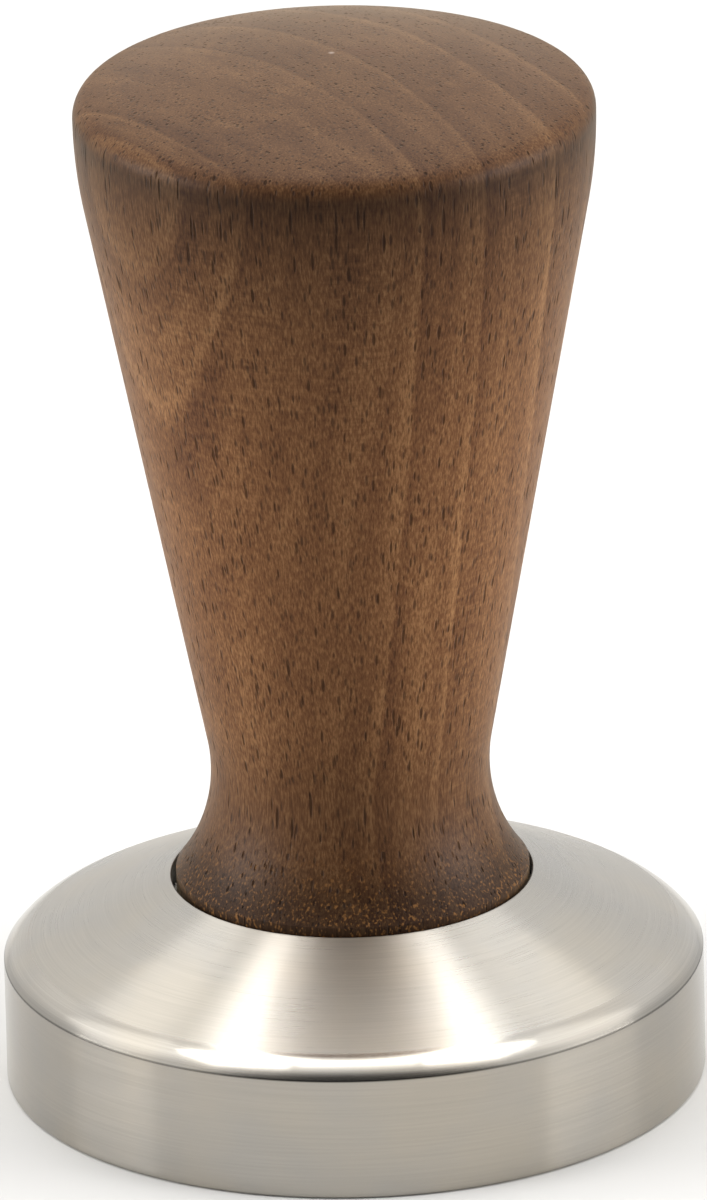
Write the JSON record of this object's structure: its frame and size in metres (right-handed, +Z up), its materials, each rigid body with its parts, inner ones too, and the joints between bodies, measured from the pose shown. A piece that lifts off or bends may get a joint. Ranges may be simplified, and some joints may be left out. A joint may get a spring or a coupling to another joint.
{
  "type": "espresso tamper",
  "caption": "Hand tamper for ground coffee: a flat steel base with a sloped top, and a waisted walnut handle that unscrews from it.",
  "frame": {"origin": "centre of the flat tamping face, which is the lowest face of the base", "axes": "+Z up along the turning axis, from the tamping face to the top of the handle; X and Y are free, because the outside is round"},
  "size_m": [0.0584, 0.0584, 0.0902],
  "materials": {
    "turned_steel": "satin",
    "screw_steel": "satin",
    "black_rubber": "matte",
    "insert_brass": "satin",
    "walnut": "satin"
  },
  "bodies": {
    "base": {"tamper_base": "turned_steel", "joining_screw": "screw_steel"},
    "ring": {"friction_ring": "black_rubber"},
    "handle": {"wood_handle": "walnut", "threaded_insert": "insert_brass"}
  },
  "joints": [
    {"name": "handle_rise", "type": "slide", "parent": "base", "child": "ring", "axis": [0, 0, 1], "range_m": [0, 0.01]},
    {"name": "handle_turn", "type": "hinge", "parent": "ring", "child": "handle", "pos_m": [0, 0, 0.016], "axis": [0, 0, 1], "range_deg": [0, 2880]}
  ],
  "couplings": [
    {"joint": "handle_rise", "follows": "handle_turn", "m_per_rad": 0.00019894}
  ]
}
